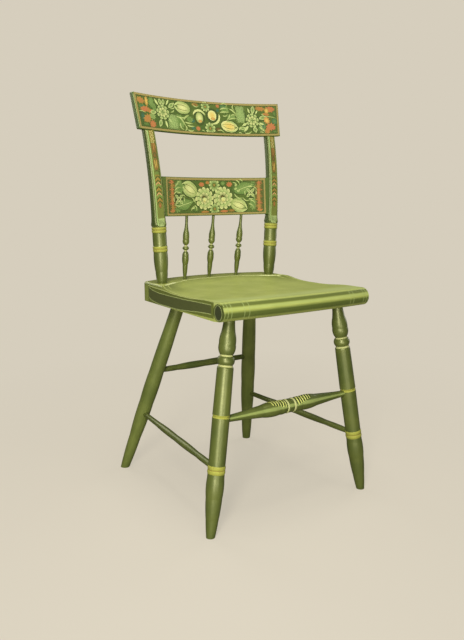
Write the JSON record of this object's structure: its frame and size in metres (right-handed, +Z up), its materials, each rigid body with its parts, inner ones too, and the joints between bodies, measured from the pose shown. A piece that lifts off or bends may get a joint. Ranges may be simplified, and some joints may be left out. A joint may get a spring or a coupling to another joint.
{
  "type": "side chair",
  "caption": "Painted wooden side chair with a plank seat, rolled front edge, stencilled crest and mid rail, short turned spindles, turned splayed legs and plain stretchers",
  "frame": {"origin": "on the floor under the middle of the chair's overall box", "axes": "+Z up, +X to the right of someone who faces the chair, +Y towards its back"},
  "size_m": [0.409, 0.4441, 0.8417],
  "materials": {
    "seat_paint": "glossy olive green paint with pale yellow striping",
    "frame_paint": "glossy olive green paint with yellow rings",
    "panel_paint": "dark green paint with stencilled fruit and flowers inside a tan border",
    "pin_paint": "green paint over round wooden pins",
    "wedge_wood": "bare aged hardwood"
  },
  "bodies": {
    "root": {"seat_plank": "seat_paint", "post_left": "frame_paint", "post_right": "frame_paint", "crest_rail": "panel_paint", "mid_rail": "panel_paint", "spindle_left": "frame_paint", "spindle_centre": "frame_paint", "spindle_right": "frame_paint", "front_leg_left": "frame_paint", "front_leg_right": "frame_paint", "rear_leg_left": "frame_paint", "rear_leg_right": "frame_paint", "front_stretcher": "frame_paint", "rear_stretcher": "frame_paint", "side_stretcher_left": "frame_paint", "side_stretcher_right": "frame_paint", "crest_pin_left": "pin_paint", "crest_pin_right": "pin_paint", "rail_pin_left": "pin_paint", "rail_pin_right": "pin_paint", "post_wedge_left": "wedge_wood", "post_wedge_right": "wedge_wood"}
  },
  "joints": []
}
